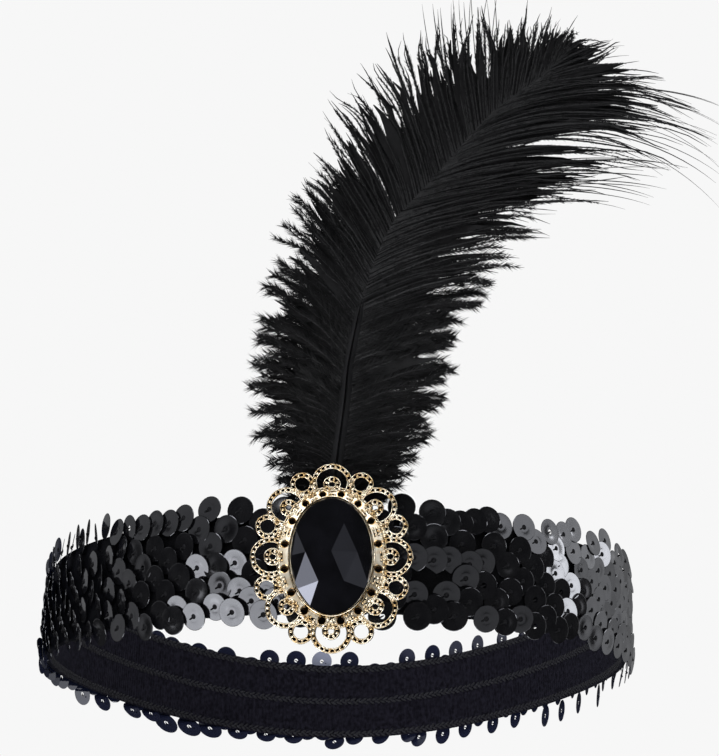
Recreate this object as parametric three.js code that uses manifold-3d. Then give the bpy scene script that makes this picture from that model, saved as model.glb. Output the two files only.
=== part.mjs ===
// A flapper headband: a loop of knitted elastic faced with rows of sequins, a pierced gilt brooch
// with a faceted oval stone at its front, and an ostrich plume whose quill is held behind the brooch.
// Millimetres, worn upright: +Z up, -Y to the front, +X to the viewer's right.
// The origin is the middle of the head opening.

import * as THREE from 'three';
import { mergeVertices } from 'three/addons/utils/BufferGeometryUtils.js';
import Module from 'manifold-3d';

const wasm = await Module();
wasm.setup();

const radians = THREE.MathUtils.degToRad;

// Head opening: the band slopes down from the brow to the nape and bows up at the sides
const opening_width = 150;
const opening_length = 195;
const band_slope = radians(18.5);
const side_rise = 2.4;
const brow_lift = 0.7;
const inward_lean = radians(2.2);

// Clearance between two pieces that touch
const gap = 0.3;

// Knitted elastic: a ridge of chain stitch stands on its inner face at both edges and the middle
const elastic_width = 23;
const elastic_wall = 1;
const ridge_height = 0.5;
const ridge_width = 2.4;

// Sequins: every second one of a row is stitched higher, which scallops the edges
const sequin_diameter = 6;
const sequin_pitch = 4.2;
const sequin_rows = 4;
const row_spacing = 6.9;
const zigzag = 1.4;
const sequin_backing = 0.5;
const sequin_relief = 0.7;

// Brooch setting: a pierced oval plate bordered with wire loops, and a bezel round the stone
const plate_width = 24;
const plate_height = 32;
const plate_thickness = 0.9;
const rim_hole_count = 16;
const rim_hole_radius = 0.6;
const rim_hole_inset = 1.3;
const wire_radius = 0.55;
const large_loop_radius = 3.9;
const small_loop_radius = 2.15;
const rosette_radius = 1.1;
const bezel_wall = 0.55;
const bezel_height = 2.4;

// How far the brooch and plume sit below the band's middle line
const brooch_drop = 0.6;

// Stone: a rose cut with a low crowned table of six facets
const stone_width = 17.8;
const stone_height = 26.2;
const girdle_thickness = 0.9;
const dome_height = 4.8;
const table_rise = 0.9;

// Backing pad between the sequins and the plate, grooved for the quill
const pad_width = 14;
const pad_height = 22;
const web_thickness = 0.8;

// Plume
const plume_height = 120;
const quill_radius = 0.9;
const rachis_tip_radius = 0.35;
const quill_drop = 4;
const lock_width = 8.4;
const lock_thickness = 1.7;
const lock_fan = 3;
const barb_angle = radians(34);

// How finely round shapes are faceted
const elastic_stations = 60;
const oval_sides = 36;
const wire_sides = 4;
const large_loop_steps = 14;
const small_loop_steps = 9;
const rosette_steps = 6;
const hole_sides = 6;
const quill_sides = 6;
const quill_steps = 20;

// Where each piece lies in front of the elastic's inner face
const elastic_front = ridge_height + elastic_wall;
const sequin_back = elastic_front + gap;
const sequin_valley = sequin_back + sequin_backing;
const sequin_crest = sequin_valley + sequin_relief;
const pad_back = sequin_crest + gap;
const quill_out = pad_back + quill_radius;
const groove_radius = quill_radius + gap;
const pad_front = quill_out + groove_radius + web_thickness;
const setting_back = pad_front + gap;
const stone_back = setting_back + plate_thickness + gap;

// The middle line of the band, a closed curve, seen as it passes once round the head from the front
class BandLine extends THREE.Curve {
  getPoint(share, target = new THREE.Vector3()) {
    const turn = 2 * Math.PI * share;
    const run = (opening_length / 2) * Math.cos(band_slope);
    const climb = (opening_length / 2) * Math.sin(band_slope);
    const bow = side_rise * Math.cos(2 * turn) - brow_lift * Math.cos(3 * turn);
    return target.set(
      (opening_width / 2) * Math.sin(turn),
      -run * Math.cos(turn),
      climb * Math.cos(turn) - bow,
    );
  }
}

const band_line = new BandLine();
band_line.arcLengthDivisions = 1440;

// Position and directions of the band at a share of its length: sideways, up the band and outward
function bandFrame(share) {
  const at = band_line.getUtoTmapping(share % 1);
  const sideways = band_line.getTangent(at);
  const slope_up = new THREE.Vector3(0, Math.sin(band_slope), Math.cos(band_slope));
  const level_out = new THREE.Vector3().crossVectors(sideways, slope_up).normalize();
  const upward = slope_up.clone().multiplyScalar(Math.cos(inward_lean));
  upward.addScaledVector(level_out, -Math.sin(inward_lean)).normalize();
  const outward = new THREE.Vector3().crossVectors(sideways, upward).normalize();
  return { centre: band_line.getPoint(at), sideways, upward, outward };
}

function onBand(frame, rise, out) {
  return frame.centre.clone().addScaledVector(frame.upward, rise).addScaledVector(frame.outward, out);
}

// A closed body through rows of points. Each row runs anticlockwise about the way the rows advance.
function loft(rows, ring) {
  const count = rows[0].length;
  const steps = ring ? rows.length : rows.length - 1;
  const faces = [];
  for (let row = 0; row < steps; row++) {
    const here = row * count;
    const there = ((row + 1) % rows.length) * count;
    for (let side = 0; side < count; side++) {
      const next = (side + 1) % count;
      faces.push(here + side, here + next, there + next);
      faces.push(here + side, there + next, there + side);
    }
  }
  if (!ring) {
    const end = (rows.length - 1) * count;
    for (let side = 1; side < count - 1; side++) {
      faces.push(0, side + 1, side);
      faces.push(end, end + side, end + side + 1);
    }
  }
  return meshGeometry(rows.flat().flatMap((point) => point.toArray()), faces);
}

function meshGeometry(positions, faces) {
  const geometry = new THREE.BufferGeometry();
  geometry.setAttribute('position', new THREE.Float32BufferAttribute(positions, 3));
  geometry.setIndex(faces);
  geometry.computeVertexNormals();
  return geometry;
}

// Solids for cutting and joining
const merge_distance = 1e-3;

function solidOf(geometry) {
  const bare = geometry.clone();
  bare.deleteAttribute('normal');
  bare.deleteAttribute('uv');
  const merged = mergeVertices(bare, merge_distance);
  return new wasm.Manifold(new wasm.Mesh({
    numProp: 3,
    vertProperties: Float32Array.from(merged.attributes.position.array),
    triVerts: Uint32Array.from(merged.index.array),
  }));
}

function geometryOf(solid) {
  const mesh = solid.getMesh();
  return meshGeometry(Array.from(mesh.vertProperties), Array.from(mesh.triVerts));
}

function joined(geometries) {
  return geometries.map(solidOf).reduce((whole, piece) => whole.add(piece));
}

// Points round an oval, from its right-hand end, as a flat outline
function oval(width, height, sides) {
  return Array.from({ length: sides }, (_, side) => {
    const turn = (2 * Math.PI * side) / sides;
    return new THREE.Vector2((width / 2) * Math.cos(turn), (height / 2) * Math.sin(turn));
  });
}

function ovalPlate(width, height, thickness, back) {
  const outline = new THREE.Shape(oval(width, height, oval_sides));
  const plate = new THREE.ExtrudeGeometry(outline, { depth: thickness, bevelEnabled: false });
  return plate.translate(0, 0, back);
}

// Elastic: the section runs up the inner face over the three ridges and down the outer face
function elasticGeometry() {
  const edge = elastic_width / 2;
  const inner_half = [
    [ridge_width / 2, ridge_height],
    [edge - ridge_width, ridge_height],
    [edge - ridge_width / 2, 0],
  ];
  const mirrored = inner_half.map(([rise, out]) => [-rise, out]).reverse();
  const section = [...mirrored, [0, 0], ...inner_half, [edge, elastic_front], [-edge, elastic_front]];
  const rows = [];
  for (let station = 0; station < elastic_stations; station++) {
    const frame = bandFrame(station / elastic_stations);
    rows.push(section.map(([rise, out]) => onBand(frame, rise, out)));
  }
  return loft(rows, true);
}

// Sequins: one relief wall with a crest along each row. Three stations make one scallop: a high
// sequin, then the two sides of the low one beside it.
const scallop_stations = 3;

function sequinGeometry() {
  const scallops = Math.round(band_line.getLength() / (2 * sequin_pitch));
  const stations = scallops * scallop_stations;
  const reach = sequin_diameter / 2;
  const beside = (2 * sequin_pitch) / scallop_stations;
  const round_off = reach - Math.sqrt(reach ** 2 - beside ** 2);
  const top_row = ((sequin_rows - 1) / 2) * row_spacing;
  const rows = [];
  for (let station = 0; station < stations; station++) {
    const high = station % scallop_stations === 0;
    const shift = high ? zigzag : -zigzag / 2;
    const edge = top_row + reach + (high ? zigzag : zigzag - round_off);
    const frame = bandFrame(station / stations);
    const section = [[-edge, sequin_back], [edge, sequin_back]];
    for (let row = sequin_rows - 1; row >= 0; row--) {
      const middle = row * row_spacing - top_row;
      section.push([middle + (row === 0 ? -shift : shift), sequin_crest]);
      if (row > 0) {
        section.push([middle - row_spacing / 2, sequin_valley]);
      }
    }
    rows.push(section.map(([rise, out]) => onBand(frame, rise, out)));
  }
  return loft(rows, true);
}

// Wire loops of the border: where each sits round the plate, in degrees, how far its centre stands
// beyond the plate's edge, in loop radii, and whether it is a large loop with a rosette in it
const border_quarter = [
  { turn: 0, stand: 0.33, large: true },
  { turn: 22, stand: 1.42, large: false },
  { turn: 42, stand: 0.3, large: true },
  { turn: 62, stand: 1.12, large: false },
  { turn: 90, stand: 0.22, large: true },
];

function borderLoops() {
  return border_quarter.flatMap(({ turn, stand, large }) => {
    const radius = large ? large_loop_radius : small_loop_radius;
    const turns = new Set([turn, 180 - turn, (180 + turn) % 360, (360 - turn) % 360]);
    return [...turns].map((each) => {
      const across = Math.cos(radians(each));
      const up = Math.sin(radians(each));
      const away = new THREE.Vector2(across / plate_width, up / plate_height).normalize();
      const edge = new THREE.Vector2((across * plate_width) / 2, (up * plate_height) / 2);
      const centre = edge.addScaledVector(away, stand * radius);
      return { x: centre.x, y: centre.y, radius, large };
    });
  });
}

function wire(x, y, radius, steps) {
  const ring = new THREE.TorusGeometry(radius, wire_radius, wire_sides, steps);
  return ring.translate(x, y, setting_back + wire_radius);
}

// A straight-sided pin that cuts right through the plate and the wires
function punch(x, y, radius) {
  const depth = 4 * (plate_thickness + wire_radius);
  const pin = new THREE.CylinderGeometry(radius, radius, depth, hole_sides);
  return pin.rotateX(Math.PI / 2).translate(x, y, setting_back);
}

function settingGeometry() {
  const seat = [stone_width + 2 * gap, stone_height + 2 * gap];
  const bezel = seat.map((size) => size + 2 * bezel_wall);
  const pieces = [
    ovalPlate(plate_width, plate_height, plate_thickness, setting_back),
    ovalPlate(...bezel, bezel_height, setting_back),
  ];
  for (const { x, y, radius, large } of borderLoops()) {
    pieces.push(wire(x, y, radius, large ? large_loop_steps : small_loop_steps));
    if (large) {
      pieces.push(wire(x, y, rosette_radius, rosette_steps));
    }
  }
  const [holes_width, holes_height] = [plate_width, plate_height].map((size) => size - 2 * rim_hole_inset);
  const hole_line = oval(holes_width, holes_height, 2 * rim_hole_count);
  const hole_centres = hole_line.filter((_, side) => side % 2 === 1);
  const punches = joined(hole_centres.map(({ x, y }) => punch(x, y, rim_hole_radius)));
  const cup = solidOf(ovalPlate(...seat, bezel_height, setting_back + plate_thickness));
  return geometryOf(joined(pieces).subtract(punches).subtract(cup));
}

// Stone: corners of the table as shares of the half width and half height, then the girdle points
// that the crown facets run down to, as turns round the oval
const table_corners = [
  { across: 0.63, up: 0 },
  { across: 0.31, up: 0.49 },
  { across: -0.31, up: 0.49 },
  { across: -0.63, up: 0 },
  { across: -0.31, up: -0.49 },
  { across: 0.31, up: -0.49 },
];
const girdle_turns = [0, 31, 59, 90, 121, 149, 180, 211, 239, 270, 301, 329];
const crown_overrun = 1.25;

function stoneGeometry() {
  const half_width = stone_width / 2;
  const half_height = stone_height / 2;
  const table_edge = dome_height - table_rise;
  const apex = new THREE.Vector3(0, 0, dome_height);
  const corners = table_corners.map(
    ({ across, up }) => new THREE.Vector3(across * half_width, up * half_height, table_edge),
  );
  // The crown runs on past the outline, so that the oval prism trims its facets to curved edges
  const skirt = girdle_turns.map((turn, side) => {
    const across = Math.cos(radians(turn)) * half_width;
    const up = Math.sin(radians(turn)) * half_height;
    const girdle = new THREE.Vector3(across, up, girdle_thickness);
    const before = corners[Math.floor(side / 2)];
    const after = corners[Math.ceil(side / 2) % corners.length];
    return before.clone().lerp(after, 0.5).lerp(girdle, crown_overrun);
  });
  const foot = skirt.map((point) => new THREE.Vector3(point.x, point.y, -dome_height));
  const vertices = [apex, ...corners, ...skirt, ...foot, new THREE.Vector3(0, 0, -dome_height)];
  const first_corner = 1;
  const first_skirt = first_corner + corners.length;
  const first_foot = first_skirt + skirt.length;
  const base = first_foot + foot.length;
  const faces = [];
  for (let corner = 0; corner < corners.length; corner++) {
    const here = first_corner + corner;
    const there = first_corner + ((corner + 1) % corners.length);
    const beyond = first_skirt + 2 * corner;
    const between = beyond + 1;
    const after = first_skirt + ((2 * corner + 2) % skirt.length);
    faces.push(0, here, there);
    faces.push(here, beyond, between);
    faces.push(here, between, there);
    faces.push(there, between, after);
  }
  for (let side = 0; side < skirt.length; side++) {
    const next = (side + 1) % skirt.length;
    faces.push(first_skirt + side, first_foot + side, first_foot + next);
    faces.push(first_skirt + side, first_foot + next, first_skirt + next);
    faces.push(base, first_foot + next, first_foot + side);
  }
  const crown = solidOf(meshGeometry(vertices.flatMap((point) => point.toArray()), faces));
  const outline = solidOf(ovalPlate(stone_width, stone_height, 2 * dome_height, 0));
  return geometryOf(outline.intersect(crown)).translate(0, 0, stone_back);
}

// Plume: the quill's middle line, as shares of the plume's height, up the band, sideways and forward
const quill_line = [
  { up: 0, aside: -0.004, forward: 0 },
  { up: 0.1, aside: 0.002, forward: 0 },
  { up: 0.202, aside: 0.007, forward: 0.003 },
  { up: 0.331, aside: 0.023, forward: 0.018 },
  { up: 0.419, aside: 0.033, forward: 0.035 },
  { up: 0.552, aside: 0.065, forward: 0.07 },
  { up: 0.659, aside: 0.112, forward: 0.105 },
  { up: 0.741, aside: 0.19, forward: 0.135 },
  { up: 0.852, aside: 0.297, forward: 0.18 },
  { up: 0.92, aside: 0.397, forward: 0.211 },
  { up: 0.994, aside: 0.472, forward: 0.247 },
];

// Locks of barbs: where each leaves the quill as a share of its length, how far its tip leans from
// straight up in degrees, to the right as positive, and its reach as a share of the plume's height
const locks = [
  { root: 0.165, lean: -77, reach: 0.155 },
  { root: 0.22, lean: -74, reach: 0.185 },
  { root: 0.275, lean: -68, reach: 0.215 },
  { root: 0.33, lean: -63, reach: 0.21 },
  { root: 0.385, lean: -54, reach: 0.24 },
  { root: 0.44, lean: -45, reach: 0.235 },
  { root: 0.49, lean: -36, reach: 0.26 },
  { root: 0.54, lean: -30, reach: 0.275 },
  { root: 0.59, lean: -25, reach: 0.295 },
  { root: 0.645, lean: -18, reach: 0.32 },
  { root: 0.705, lean: -12, reach: 0.295 },
  { root: 0.765, lean: -7, reach: 0.27 },
  { root: 0.825, lean: 1, reach: 0.225 },
  { root: 0.885, lean: 9, reach: 0.175 },
  { root: 0.94, lean: 16, reach: 0.1 },
  { root: 0.165, lean: 86, reach: 0.135 },
  { root: 0.22, lean: 77, reach: 0.18 },
  { root: 0.275, lean: 75, reach: 0.195 },
  { root: 0.33, lean: 76, reach: 0.225 },
  { root: 0.385, lean: 74, reach: 0.255 },
  { root: 0.435, lean: 80, reach: 0.275 },
  { root: 0.485, lean: 82, reach: 0.29 },
  { root: 0.535, lean: 80, reach: 0.32 },
  { root: 0.585, lean: 84, reach: 0.38 },
  { root: 0.635, lean: 83, reach: 0.405 },
  { root: 0.69, lean: 88, reach: 0.43 },
  { root: 0.745, lean: 94, reach: 0.45 },
  { root: 0.8, lean: 95, reach: 0.415 },
  { root: 0.855, lean: 90, reach: 0.34 },
  { root: 0.915, lean: 80, reach: 0.21 },
];

// How wide and thick a lock is along its length, as shares of its full width and thickness
const lock_sections = [
  { along: 0, width: 0.75, thickness: 1 },
  { along: 0.4, width: 1, thickness: 0.85 },
  { along: 0.75, width: 0.8, thickness: 0.5 },
  { along: 1, width: 0.08, thickness: 0.15 },
];

const quill_curve = new THREE.CatmullRomCurve3(
  quill_line.map(({ up, aside, forward }) => new THREE.Vector3(
    aside * plume_height,
    up * plume_height - quill_drop,
    forward * plume_height + quill_out,
  )),
);

// Rows of points across a path, each row a ring about the path's direction
function ringsAlong(curve, shares, ringAt) {
  const forward = new THREE.Vector3(0, 0, 1);
  return shares.map((share) => {
    const centre = curve.getPoint(share);
    const along = curve.getTangent(share);
    const side = new THREE.Vector3().crossVectors(forward, along).normalize();
    const face = new THREE.Vector3().crossVectors(along, side);
    return ringAt(share).map(([across, out]) => (
      centre.clone().addScaledVector(side, across).addScaledVector(face, out)
    ));
  });
}

function quillGeometry() {
  const shares = Array.from({ length: quill_steps + 1 }, (_, step) => step / quill_steps);
  const rings = ringsAlong(quill_curve, shares, (share) => {
    const radius = THREE.MathUtils.lerp(quill_radius, rachis_tip_radius, share);
    return oval(2 * radius, 2 * radius, quill_sides).map(({ x, y }) => [x, y]);
  });
  return loft(rings, false);
}

function lockGeometry({ root, lean, reach }, order) {
  const start = quill_curve.getPointAt(root);
  const heading = quill_curve.getTangentAt(root);
  const side = Math.sign(lean - THREE.MathUtils.radToDeg(Math.atan2(heading.x, heading.y)));
  const length = reach * plume_height;
  const chord = new THREE.Vector3(Math.sin(radians(lean)), Math.cos(radians(lean)), heading.z);
  const tip = start.clone().addScaledVector(chord, length);
  tip.z += order % 2 === 0 ? lock_fan : -lock_fan;
  const leaving = heading.clone().applyAxisAngle(new THREE.Vector3(0, 0, 1), -side * barb_angle);
  const bend = start.clone().addScaledVector(leaving, length / 2);
  const path = new THREE.QuadraticBezierCurve3(start, bend, tip);
  const shares = lock_sections.map(({ along }) => along);
  const rings = ringsAlong(path, shares, (share) => {
    const { width, thickness } = lock_sections.find(({ along }) => along === share);
    return oval(width * lock_width, thickness * lock_thickness, 4).map(({ x, y }) => [x, y]);
  });
  return loft(rings, false);
}

function featherGeometry() {
  return geometryOf(joined([quillGeometry(), ...locks.map(lockGeometry)]));
}

// Pad: a plain oval with a straight groove down its back, which heads for a low point of the quill
const groove_heading = 0.15;

function padGeometry() {
  const thickness = pad_front - pad_back;
  const pad = solidOf(ovalPlate(pad_width, pad_height, thickness, pad_back));
  const quill_end = quill_curve.getPoint(0);
  const along = quill_curve.getPointAt(groove_heading).sub(quill_end).normalize();
  const below = quill_end.clone().addScaledVector(along, -gap);
  const above = quill_end.clone().addScaledVector(along, pad_height);
  const groove = ringsAlong(new THREE.LineCurve3(below, above), [0, 1], () => [
    [-groove_radius, -2 * groove_radius],
    [groove_radius, -2 * groove_radius],
    [groove_radius, groove_radius],
    [-groove_radius, groove_radius],
  ]);
  return geometryOf(pad.subtract(solidOf(loft(groove, false))));
}

function piece(name, geometry, color, roughness, metalness) {
  const mesh = new THREE.Mesh(geometry, new THREE.MeshStandardMaterial({ color, roughness, metalness }));
  mesh.name = name;
  return mesh;
}

const headband = new THREE.Group();
headband.add(piece('elastic_band', elasticGeometry(), 0x14141a, 0.95, 0));
headband.add(piece('sequin_field', sequinGeometry(), 0x101012, 0.25, 0));

// The brooch and plume stand on the band's front: +X sideways, +Y up the band, +Z outward
const brow = bandFrame(0);
const front = new THREE.Group();
front.position.copy(onBand(brow, -brooch_drop, 0));
front.setRotationFromMatrix(new THREE.Matrix4().makeBasis(brow.sideways, brow.upward, brow.outward));
front.add(piece('mounting_pad', padGeometry(), 0x18181a, 1, 0));
front.add(piece('brooch_setting', settingGeometry(), 0xd9b25a, 0.25, 1));
front.add(piece('brooch_stone', stoneGeometry(), 0x08080a, 0.05, 0));
front.add(piece('feather', featherGeometry(), 0x101012, 0.9, 0));
headband.add(front);

export default headband;
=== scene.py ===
"""A flapper headband: sequins on knitted elastic, a gilt brooch with a black stone, and a plume.

Shapes are worked out in millimetres, in the part's frame (+Z up, -Y to the front, +X to the viewer's
right, origin in the middle of the head opening), and turned to metres when a mesh is made.
"""

from math import cos, pi, radians, sin, tan

import bmesh
import bpy
import numpy as np
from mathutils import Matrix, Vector


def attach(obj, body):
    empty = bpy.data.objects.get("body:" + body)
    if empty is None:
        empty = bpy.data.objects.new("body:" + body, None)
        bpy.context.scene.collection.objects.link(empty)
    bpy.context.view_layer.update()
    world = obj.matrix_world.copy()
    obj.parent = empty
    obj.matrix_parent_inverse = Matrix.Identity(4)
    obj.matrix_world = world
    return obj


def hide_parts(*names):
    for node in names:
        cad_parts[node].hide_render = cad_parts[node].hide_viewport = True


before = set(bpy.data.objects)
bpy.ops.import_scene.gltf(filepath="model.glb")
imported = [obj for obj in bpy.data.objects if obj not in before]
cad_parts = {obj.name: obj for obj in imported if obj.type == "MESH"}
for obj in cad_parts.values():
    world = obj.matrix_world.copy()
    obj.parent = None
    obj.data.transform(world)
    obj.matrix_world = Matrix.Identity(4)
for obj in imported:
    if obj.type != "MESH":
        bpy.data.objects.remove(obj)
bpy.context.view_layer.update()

MM = 0.001
BAND_SEED, PLUME_SEED = 29, 31
rng = np.random.default_rng(BAND_SEED)

# Head opening and band
OPENING_WIDTH = 150
OPENING_LENGTH = 195
BAND_SLOPE = radians(18.5)
SIDE_RISE = 2.4
BROW_LIFT = 0.7
INWARD_LEAN = radians(2.2)

# Knitted elastic
ELASTIC_WIDTH = 23
RIDGE_HEIGHT = 0.5
RIDGE_WIDTH = 2.4
RIDGES = (RIDGE_WIDTH / 2 - ELASTIC_WIDTH / 2, 0, ELASTIC_WIDTH / 2 - RIDGE_WIDTH / 2)
ELASTIC_FRONT = 1.5
RIB_PITCH = 1.15
RIB_DEPTH = 0.13
STITCH_PITCH = 1.75
STITCH_LENGTH = 1.15

# Sequins
SEQUIN_RADIUS = 3.2
SEQUIN_HOLE = 0.6
SEQUIN_SHEET = 0.13
SEQUIN_CUP = 0.03
SEQUIN_BEVEL = (0.1, 0.04)
SEQUIN_ROWS = 4
ROW_SPACING = 6.9
SEQUINS_ROUND = 136
ZIGZAG = 1.4
SEQUIN_OUT = 2.35
SEQUIN_APART = 5.5
SPREAD_ROUNDS = 40
SPREAD_PUSH = 0.12
BACK_NARROWING = 2.6
SEQUIN_STEP = 1.5
LIFT_ROUND = [
    # share of the band, to the viewer's left as negative, and lift in degrees
    (-0.5, 15), (-0.25, 18), (-0.15, 15), (-0.1, 10), (-0.06, 5), (-0.03, 4), (0.03, 13), (0.05, 14),
    (0.1, 8), (0.25, 7), (0.32, 15), (0.5, 15),
]
# How the rows hang, in degrees, how much of that is lost at the back, how much further in the lowest
# sequins hang there, and how steeply they are tucked in
ROW_HANG = (-14, -11, -7, -1)
HANG_LOST = 0.5
EDGE_HANG = 30
TUCK = radians(EDGE_HANG - (1 - HANG_LOST) * ROW_HANG[0])
# How uneven the sequins are: along the band as a share of their pitch, in rise, in lift and in pitch
SHARE_NOISE, RISE_NOISE, LIFT_NOISE, PITCH_NOISE = 0.12, 0.35, 5.5, 5
# How much of the last two is taken away on the calm right side, at the front and at the back
SIDE_EVEN, FRONT_EVEN, BACK_EVEN = 0.72, 0.65, 0.85
TOP_ROW_TURN = [
    # share of the band, and how much further up the top row faces there, in degrees
    (0.078, 0), (0.086, 4), (0.094, 5), (0.1, 1.5), (0.118, 1.5), (0.126, 6), (0.2, 6), (0.25, 5),
    (0.3, 0),
]
TOP_ROW_LIFT = [
    # share of the band, and how much more the top row is lifted there, in degrees
    (0.092, 0), (0.1, -4), (0.118, -4), (0.13, 0),
]
FLARE = 1.9
THREAD_RADIUS = 0.2
KNOT = np.array([[0.68, 0.68, 0.22]])
KNOTTED = 0.88
FRONT_HALF = 0.26

# Brooch
BROOCH_DROP = 0.6
PLATE = (24, 32)
PLATE_THICKNESS = 0.9
RIM_HOLES = 16
RIM_HOLE_RADIUS = 0.8
RIM_HOLE_INSET = 1.6
LARGE_LOOP = 3.9
SMALL_LOOP = 2.15
BEZEL_HEIGHT = 2.4
STONE = (17.8, 26.2)

# Depths in front of the elastic's inner face
QUILL_OUT = 4.2
SETTING_BACK = 6.5

# Plume
PLUME_HEIGHT = 120
QUILL_DROP = 4

# Camera, fitted to the photograph's 719 x 756 frame
PHOTO = (719, 756)
FOCAL_PIXELS = 1837
CAMERA_PLACE = (6.1, -500, 70.3)
SENSOR = 36

# Light
STUDIO_GLOW = 0.93
ROOM_GLOW = 0.024
CARD_DISTANCE = 1.3
CARD_COLOUR = (0.95, 0.965, 1.0)
FOCUS = (0, -80 * MM, 30 * MM)


def unit(vectors):
    return vectors / np.linalg.norm(vectors, axis=-1, keepdims=True)


def ease(value, start, end):
    """A smooth step from 0 at start to 1 at end."""
    part = np.clip((value - start) / (end - start), 0, 1)
    return part * part * (3 - 2 * part)


def wrapped(share):
    """A share of the band counted from the front, and negative on the viewer's left."""
    return (share + 0.5) % 1 - 0.5


def runs(line):
    """The length of a line up to each of its points."""
    return np.concatenate([[0], np.cumsum(np.linalg.norm(np.diff(line, axis=0), axis=1))])


def around(radius, height, turn):
    """Points at a radius, a height and a turn about the third axis."""
    return np.stack(np.broadcast_arrays(radius * np.cos(turn), radius * np.sin(turn), height), -1)


def full_turn(count, shift=0.0):
    return 2 * pi * (np.arange(count) + shift) / count


def band_line(turn):
    """The band's middle line at turns round the head, in radians from the front."""
    run = OPENING_LENGTH / 2 * cos(BAND_SLOPE)
    climb = OPENING_LENGTH / 2 * sin(BAND_SLOPE)
    bow = SIDE_RISE * np.cos(2 * turn) - BROW_LIFT * np.cos(3 * turn)
    across = OPENING_WIDTH / 2 * np.sin(turn)
    return np.stack([across, -run * np.cos(turn), climb * np.cos(turn) - bow], axis=-1)


_turns = np.linspace(0, 2 * pi, 2881)
_runs = runs(band_line(_turns))
BAND_LENGTH = _runs[-1]


def band_frame(shares):
    """Centres and the sideways, upward and outward directions at shares of the band's length."""
    turn = np.interp(np.mod(shares, 1) * BAND_LENGTH, _runs, _turns)
    small = 1e-4
    sideways = unit(band_line(turn + small) - band_line(turn - small))
    slope_up = np.array([0, sin(BAND_SLOPE), cos(BAND_SLOPE)])
    level_out = unit(np.cross(sideways, slope_up))
    upward = unit(cos(INWARD_LEAN) * slope_up - sin(INWARD_LEAN) * level_out)
    outward = unit(np.cross(sideways, upward))
    return band_line(turn), sideways, upward, outward


def on_band(shares, rise, out):
    centre, _, upward, outward = band_frame(np.asarray(shares, float))
    return centre + upward * np.asarray(rise)[..., None] + outward * np.asarray(out)[..., None]


_brow = [v[0] for v in band_frame(np.zeros(1))]
FRONT_AXES = np.array(_brow[1:])


def on_front(points):
    """Points of the brooch's own frame (across, up, out) as points of the part."""
    return _brow[0] - BROOCH_DROP * _brow[2] + np.asarray(points, float) @ FRONT_AXES


# Mesh making: a shape is a pair of points (n x 3) and triangles (m x 3)
def join(shapes):
    points, faces, count = [], [], 0
    for some_points, some_faces in shapes:
        points.append(some_points)
        faces.append(some_faces + count)
        count += len(some_points)
    return np.concatenate(points), np.concatenate(faces)


def grid_faces(rows, columns, ring_rows=False, ring_columns=True):
    """Two triangles for each cell of a grid of points laid row after row."""
    row = np.arange(rows if ring_rows else rows - 1)[:, None]
    column = np.arange(columns if ring_columns else columns - 1)
    after, beside = (row + 1) % rows * columns, (column + 1) % columns
    a, b, c, d = row * columns + column, row * columns + beside, after + beside, after + column
    return np.concatenate([np.stack(half, -1).reshape(-1, 3) for half in ((a, b, c), (a, c, d))])


def repeated(faces, count, points_each):
    """The faces of one shape for many copies of it, one after another."""
    return (faces[None] + np.arange(count)[:, None, None] * points_each).reshape(-1, 3)


def loft(rows, ring=False):
    """A closed body through rows of points; open rows are capped with a fan at each end."""
    rows = np.asarray(rows, float)
    count, sides = rows.shape[:2]
    faces = grid_faces(count, sides, ring_rows=ring)
    if not ring:
        fan = np.stack([np.zeros(sides - 2, int), np.arange(2, sides), np.arange(1, sides - 1)], -1)
        faces = np.concatenate([faces, fan, fan[:, ::-1] + (count - 1) * sides])
    return rows.reshape(-1, 3), faces


def tube(path, radii, sides, ring=False, forward=(0, -1, 0)):
    """A round tube along a path."""
    ahead = np.roll(path, -1, axis=0) - np.roll(path, 1, axis=0) if ring else np.gradient(path, axis=0)
    along = unit(ahead)
    side = unit(np.cross(forward, along))
    face = np.cross(along, side)
    turn = full_turn(sides)[:, None]
    round_it = side[:, None] * np.cos(turn) + face[:, None] * np.sin(turn)
    return loft(path[:, None] + round_it * np.broadcast_to(radii, len(path))[:, None, None], ring)


def turned(profile, sides, closed=True):
    """A profile of (radius, height) points turned about the third axis."""
    radius, height = np.transpose(profile)
    points = around(radius, height, full_turn(sides)[:, None])
    return points.reshape(-1, 3), grid_faces(sides, len(profile), ring_rows=True, ring_columns=closed)


def ball(sides, rings):
    """A unit sphere."""
    lift = np.linspace(-pi / 2, pi / 2, rings + 1)[1:-1, None]
    rows = around(np.cos(lift), np.sin(lift), full_turn(sides))
    points = np.concatenate([rows.reshape(-1, 3), [[0, 0, -1], [0, 0, 1]]])
    side = np.arange(sides)
    after = (side + 1) % sides
    last = (rings - 2) * sides
    foot = np.stack([np.full(sides, len(points) - 2), after, side], -1)
    top = np.stack([np.full(sides, len(points) - 1), last + side, last + after], -1)
    return points, np.concatenate([grid_faces(rings - 1, sides), foot, top])


def copies(shape, centres, axes, scale=1.0):
    """One shape at many places, each with three directions in axes and with one size or three in scale."""
    points, faces = shape
    scale = np.broadcast_to(scale[:, None] if np.ndim(scale) == 1 else scale, (len(centres), 3))
    placed = centres[:, None, :] + np.einsum("pk,nk,nkc->npc", points, scale, axes)
    return placed.reshape(-1, 3), repeated(faces, len(centres), len(points))


def turn_outward(mesh):
    """Every closed body of a mesh gets its faces turned outward."""
    form = bmesh.new()
    form.from_mesh(mesh)
    bmesh.ops.recalc_face_normals(form, faces=form.faces)
    form.to_mesh(mesh)
    form.free()


def make_mesh(name, points, faces, material):
    mesh = bpy.data.meshes.new(name)
    mesh.from_pydata(points.tolist(), [], faces.tolist())
    mesh.materials.append(material)
    return mesh


def put_in_scene(name, data):
    made = bpy.data.objects.new(name, data)
    bpy.context.scene.collection.objects.link(made)
    return made


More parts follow.
